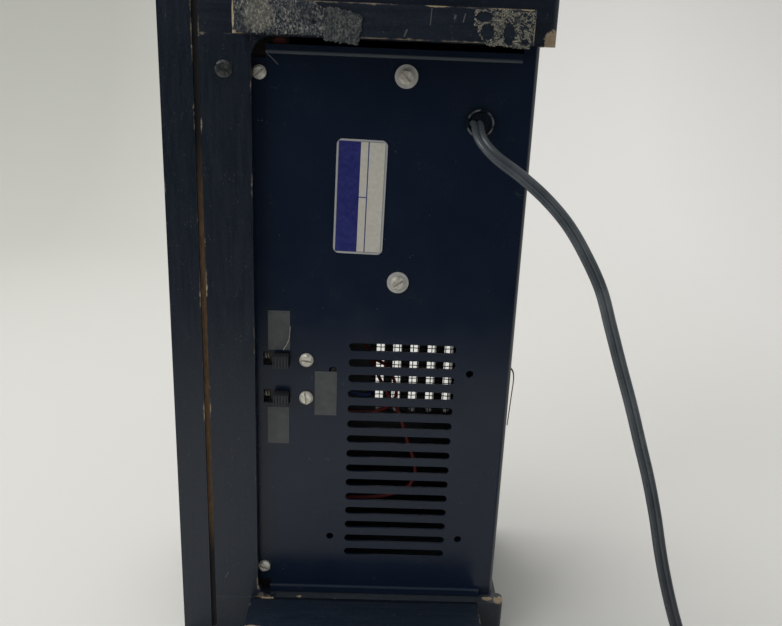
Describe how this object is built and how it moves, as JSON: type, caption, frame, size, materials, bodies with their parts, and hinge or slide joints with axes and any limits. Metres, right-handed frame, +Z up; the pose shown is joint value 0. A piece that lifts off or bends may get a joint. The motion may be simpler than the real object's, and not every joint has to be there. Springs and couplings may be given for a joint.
{
  "type": "digital clock",
  "caption": "Mains digital clock in a black wooden case standing on one end, with a steel chassis, two time-setting slide switches and a flat power cord.",
  "frame": {"origin": "centre of the left end face that the clock stands on, at the floor, taken over the case without its feet and its cord", "axes": "+X towards the back of the clock, +Y towards its top panel (the underside with the chassis faces -Y), +Z up along its width"},
  "size_m": [0.2885, 0.2794, 0.313],
  "materials": {
    "black_painted_wood": "black paint, worn at the edges",
    "raw_wood": "bare softwood",
    "hardboard": "bare brown hardboard",
    "dark_red_acrylic": "transparent dark red",
    "wire_cloth": "dull galvanised wire",
    "torn_felt": "worn adhesive-backed strip",
    "painted_screw": "painted over",
    "black_steel": "smooth black enamel",
    "zinc_steel": "zinc plated",
    "label_foil": "printed foil",
    "grey_tag": "grey tape",
    "switch_steel": "plated steel",
    "black_nylon": "matt black",
    "contact_board": "brown laminate with tinned terminals",
    "lamination_steel": "varnished laminations",
    "winding_paper": "varnished paper wrap",
    "bushing_nylon": "black nylon",
    "cord_rubber": "dark grey-green cord jacket",
    "plug_rubber": "moulded rubber",
    "blade_brass": "plain",
    "wire_nut_plastic": "tan plastic",
    "black_wire": "PVC insulation",
    "circuit_board": "solder-masked laminate",
    "digit_plastic": "dark red display modules",
    "spacer_brass": "plain",
    "chip_plastic": "moulded package in a socket",
    "can_metal": "metal can",
    "blue_sleeve": "sleeved electrolytic",
    "diode_plastic": "moulded",
    "resistor_body": "lacquered",
    "red_insulation": "PVC insulation",
    "blue_insulation": "PVC insulation"
  },
  "bodies": {
    "case": {"left_end_panel": "black_painted_wood", "right_end_panel": "black_painted_wood", "top_panel": "black_painted_wood", "bottom_front_rail": "black_painted_wood", "front_corner_blocks": "raw_wood", "rear_corner_blocks": "raw_wood", "front_bezel": "black_painted_wood", "hardboard_backing": "hardboard", "display_window": "dark_red_acrylic", "vent_screen": "wire_cloth", "left_foot": "black_painted_wood", "right_foot": "black_painted_wood", "foot_pads": "torn_felt", "rail_wood_screw": "painted_screw", "chassis_pan": "black_steel", "chassis_front_screws": "zinc_steel", "chassis_rear_screws": "zinc_steel", "data_plate": "label_foil", "legend_tags": "grey_tag", "slow_switch_housing": "switch_steel", "slow_switch_spring": "zinc_steel", "slow_switch_terminals": "contact_board", "fast_switch_housing": "switch_steel", "fast_switch_spring": "zinc_steel", "fast_switch_terminals": "contact_board", "switch_screws": "zinc_steel", "switch_nuts": "zinc_steel", "transformer_core": "lamination_steel", "transformer_winding": "winding_paper", "transformer_strap": "switch_steel", "transformer_screws": "zinc_steel", "transformer_washers": "zinc_steel", "transformer_nuts": "zinc_steel", "cord_bushing": "bushing_nylon", "power_cord": "cord_rubber", "power_cord_coil": "cord_rubber", "plug_body": "plug_rubber", "plug_blades": "blade_brass", "inner_cord": "cord_rubber", "wire_nuts": "wire_nut_plastic", "transformer_leads": "black_wire", "display_board": "circuit_board", "display_digits": "digit_plastic", "display_standoffs": "spacer_brass", "main_board": "circuit_board", "board_spacers": "spacer_brass", "board_screws": "zinc_steel", "clock_chip": "chip_plastic", "driver_transistors": "can_metal", "filter_capacitor": "can_metal", "small_capacitors": "blue_sleeve", "rectifier_diodes": "diode_plastic", "resistors": "resistor_body", "red_wires": "red_insulation", "blue_wire": "blue_insulation"},
    "slow_slider": {"slow_switch_slider": "black_nylon"},
    "fast_slider": {"fast_switch_slider": "black_nylon"}
  },
  "joints": [
    {"name": "slow_advance_slide", "type": "slide", "parent": "case", "child": "slow_slider", "axis": [-1, 0, 0], "range_m": [0, 0.004], "stiffness_N_per_m": 400, "springref_m": -0.002, "deforming": ["slow_switch_spring"]},
    {"name": "fast_advance_slide", "type": "slide", "parent": "case", "child": "fast_slider", "axis": [-1, 0, 0], "range_m": [0, 0.004], "stiffness_N_per_m": 400, "springref_m": -0.002, "deforming": ["fast_switch_spring"]}
  ]
}
